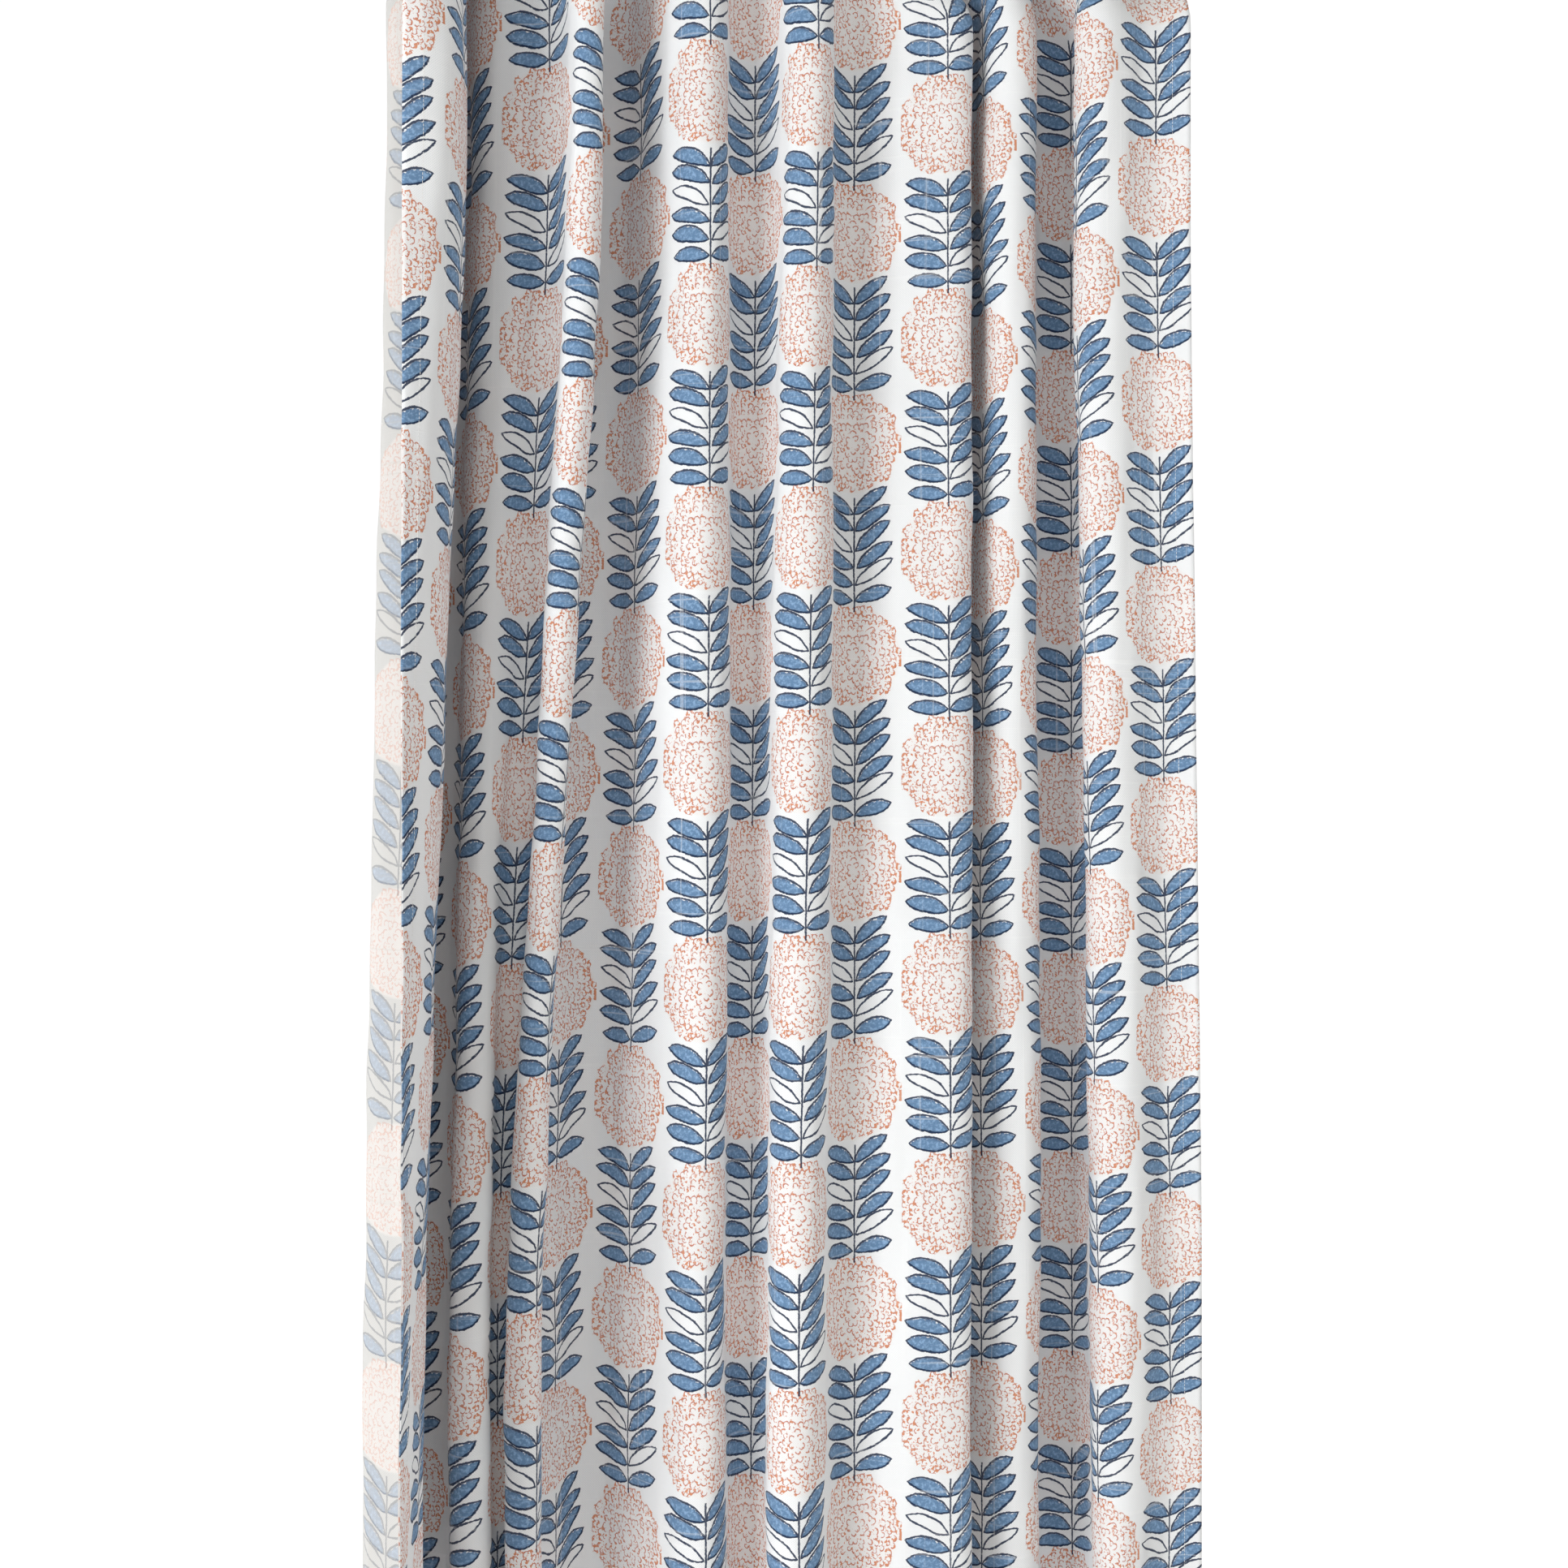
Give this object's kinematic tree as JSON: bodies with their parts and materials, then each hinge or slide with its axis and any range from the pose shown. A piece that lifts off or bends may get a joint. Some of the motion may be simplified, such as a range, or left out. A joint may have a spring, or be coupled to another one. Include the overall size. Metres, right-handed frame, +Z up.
{
  "type": "shower curtain",
  "caption": "Unlined printed cotton shower curtain hanging in soft pleats from hinged wire rings through crimped eyelets in a doubled header.",
  "frame": {"origin": "on the axis of the rod that the rings go over, half way along the hung curtain", "axes": "+X along the rod, +Z up, the printed front of the cloth faces -Y"},
  "size_m": [0.8667, 0.3136, 1.8715],
  "materials": {
    "printed_cotton": "matte slub plain weave, block printed in dusty blue, navy and terracotta",
    "hem_cotton": "matte slub plain weave, doubled and stitched, same print",
    "ring_nickel": "satin nickel plated wire",
    "eyelet_nickel": "polished nickel plated sheet"
  },
  "bodies": {
    "cloth": {"panel": "printed_cotton", "header": "hem_cotton", "bottom_hem": "hem_cotton", "side_hem_left": "hem_cotton", "side_hem_right": "hem_cotton", "ring_01": "ring_nickel", "eyelet_01": "eyelet_nickel", "eyelet_washer_01": "eyelet_nickel"},
    "hanger_02": {"ring_02": "ring_nickel", "eyelet_02": "eyelet_nickel", "eyelet_washer_02": "eyelet_nickel"},
    "hanger_03": {"ring_03": "ring_nickel", "eyelet_03": "eyelet_nickel", "eyelet_washer_03": "eyelet_nickel"},
    "hanger_04": {"ring_04": "ring_nickel", "eyelet_04": "eyelet_nickel", "eyelet_washer_04": "eyelet_nickel"},
    "hanger_05": {"ring_05": "ring_nickel", "eyelet_05": "eyelet_nickel", "eyelet_washer_05": "eyelet_nickel"},
    "hanger_06": {"ring_06": "ring_nickel", "eyelet_06": "eyelet_nickel", "eyelet_washer_06": "eyelet_nickel"},
    "hanger_07": {"ring_07": "ring_nickel", "eyelet_07": "eyelet_nickel", "eyelet_washer_07": "eyelet_nickel"},
    "hanger_08": {"ring_08": "ring_nickel", "eyelet_08": "eyelet_nickel", "eyelet_washer_08": "eyelet_nickel"},
    "hanger_09": {"ring_09": "ring_nickel", "eyelet_09": "eyelet_nickel", "eyelet_washer_09": "eyelet_nickel"},
    "hanger_10": {"ring_10": "ring_nickel", "eyelet_10": "eyelet_nickel", "eyelet_washer_10": "eyelet_nickel"},
    "hanger_11": {"ring_11": "ring_nickel", "eyelet_11": "eyelet_nickel", "eyelet_washer_11": "eyelet_nickel"},
    "hanger_12": {"ring_12": "ring_nickel", "eyelet_12": "eyelet_nickel", "eyelet_washer_12": "eyelet_nickel"},
    "gate_01": {"ring_gate_01": "ring_nickel"},
    "gate_02": {"ring_gate_02": "ring_nickel"},
    "gate_03": {"ring_gate_03": "ring_nickel"},
    "gate_04": {"ring_gate_04": "ring_nickel"},
    "gate_05": {"ring_gate_05": "ring_nickel"},
    "gate_06": {"ring_gate_06": "ring_nickel"},
    "gate_07": {"ring_gate_07": "ring_nickel"},
    "gate_08": {"ring_gate_08": "ring_nickel"},
    "gate_09": {"ring_gate_09": "ring_nickel"},
    "gate_10": {"ring_gate_10": "ring_nickel"},
    "gate_11": {"ring_gate_11": "ring_nickel"},
    "gate_12": {"ring_gate_12": "ring_nickel"}
  },
  "joints": [
    {"name": "ring_12_slide", "type": "slide", "parent": "cloth", "child": "hanger_12", "axis": [1, 0, 0], "range_m": [-0.4638, 0], "deforming": ["panel", "header", "bottom_hem", "side_hem_left", "side_hem_right"]},
    {"name": "ring_11_slide", "type": "slide", "parent": "cloth", "child": "hanger_11", "axis": [1, 0, 0], "range_m": [-0.4185, 0.0002]},
    {"name": "ring_10_slide", "type": "slide", "parent": "cloth", "child": "hanger_10", "axis": [1, 0, 0], "range_m": [-0.3736, 0.0002]},
    {"name": "ring_09_slide", "type": "slide", "parent": "cloth", "child": "hanger_09", "axis": [1, 0, 0], "range_m": [-0.329, 0.0002]},
    {"name": "ring_08_slide", "type": "slide", "parent": "cloth", "child": "hanger_08", "axis": [1, 0, 0], "range_m": [-0.2831, 0.0002]},
    {"name": "ring_07_slide", "type": "slide", "parent": "cloth", "child": "hanger_07", "axis": [1, 0, 0], "range_m": [-0.2358, 0.0002]},
    {"name": "ring_06_slide", "type": "slide", "parent": "cloth", "child": "hanger_06", "axis": [1, 0, 0], "range_m": [-0.1913, 0.0002]},
    {"name": "ring_05_slide", "type": "slide", "parent": "cloth", "child": "hanger_05", "axis": [1, 0, 0], "range_m": [-0.1495, 0.0002]},
    {"name": "ring_04_slide", "type": "slide", "parent": "cloth", "child": "hanger_04", "axis": [1, 0, 0], "range_m": [-0.1106, 0.0002]},
    {"name": "ring_03_slide", "type": "slide", "parent": "cloth", "child": "hanger_03", "axis": [1, 0, 0], "range_m": [-0.0735, 0.0002]},
    {"name": "ring_02_slide", "type": "slide", "parent": "cloth", "child": "hanger_02", "axis": [1, 0, 0], "range_m": [-0.0364, 0.0002]},
    {"name": "gate_01_hinge", "type": "hinge", "parent": "cloth", "child": "gate_01", "pos_m": [-0.374, 0.01909, -0.03139], "axis": [-1, 0, 0], "range_deg": [0, 70]},
    {"name": "gate_02_hinge", "type": "hinge", "parent": "hanger_02", "child": "gate_02", "pos_m": [-0.31566, 0.01909, -0.03139], "axis": [-1, 0, 0], "range_deg": [0, 70]},
    {"name": "gate_03_hinge", "type": "hinge", "parent": "hanger_03", "child": "gate_03", "pos_m": [-0.25582, 0.01909, -0.03139], "axis": [-1, 0, 0], "range_deg": [0, 70]},
    {"name": "gate_04_hinge", "type": "hinge", "parent": "hanger_04", "child": "gate_04", "pos_m": [-0.19598, 0.01909, -0.03139], "axis": [-1, 0, 0], "range_deg": [0, 70]},
    {"name": "gate_05_hinge", "type": "hinge", "parent": "hanger_05", "child": "gate_05", "pos_m": [-0.13314, 0.01909, -0.03139], "axis": [-1, 0, 0], "range_deg": [0, 70]},
    {"name": "gate_06_hinge", "type": "hinge", "parent": "hanger_06", "child": "gate_06", "pos_m": [-0.06582, 0.01909, -0.03139], "axis": [-1, 0, 0], "range_deg": [0, 70]},
    {"name": "gate_07_hinge", "type": "hinge", "parent": "hanger_07", "child": "gate_07", "pos_m": [0.00598, 0.01909, -0.03139], "axis": [-1, 0, 0], "range_deg": [0, 70]},
    {"name": "gate_08_hinge", "type": "hinge", "parent": "hanger_08", "child": "gate_08", "pos_m": [0.08228, 0.01909, -0.03139], "axis": [-1, 0, 0], "range_deg": [0, 70]},
    {"name": "gate_09_hinge", "type": "hinge", "parent": "hanger_09", "child": "gate_09", "pos_m": [0.15633, 0.01909, -0.03139], "axis": [-1, 0, 0], "range_deg": [0, 70]},
    {"name": "gate_10_hinge", "type": "hinge", "parent": "hanger_10", "child": "gate_10", "pos_m": [0.22814, 0.01909, -0.03139], "axis": [-1, 0, 0], "range_deg": [0, 70]},
    {"name": "gate_11_hinge", "type": "hinge", "parent": "hanger_11", "child": "gate_11", "pos_m": [0.3007, 0.01909, -0.03139], "axis": [-1, 0, 0], "range_deg": [0, 70]},
    {"name": "gate_12_hinge", "type": "hinge", "parent": "hanger_12", "child": "gate_12", "pos_m": [0.374, 0.01909, -0.03139], "axis": [-1, 0, 0], "range_deg": [0, 70]}
  ],
  "couplings": [
    {"joint": "ring_11_slide", "follows": "ring_12_slide", "ratio": 0.902},
    {"joint": "ring_10_slide", "follows": "ring_12_slide", "ratio": 0.805},
    {"joint": "ring_09_slide", "follows": "ring_12_slide", "ratio": 0.709},
    {"joint": "ring_08_slide", "follows": "ring_12_slide", "ratio": 0.61},
    {"joint": "ring_07_slide", "follows": "ring_12_slide", "ratio": 0.508},
    {"joint": "ring_06_slide", "follows": "ring_12_slide", "ratio": 0.412},
    {"joint": "ring_05_slide", "follows": "ring_12_slide", "ratio": 0.322},
    {"joint": "ring_04_slide", "follows": "ring_12_slide", "ratio": 0.238},
    {"joint": "ring_03_slide", "follows": "ring_12_slide", "ratio": 0.158},
    {"joint": "ring_02_slide", "follows": "ring_12_slide", "ratio": 0.078}
  ]
}
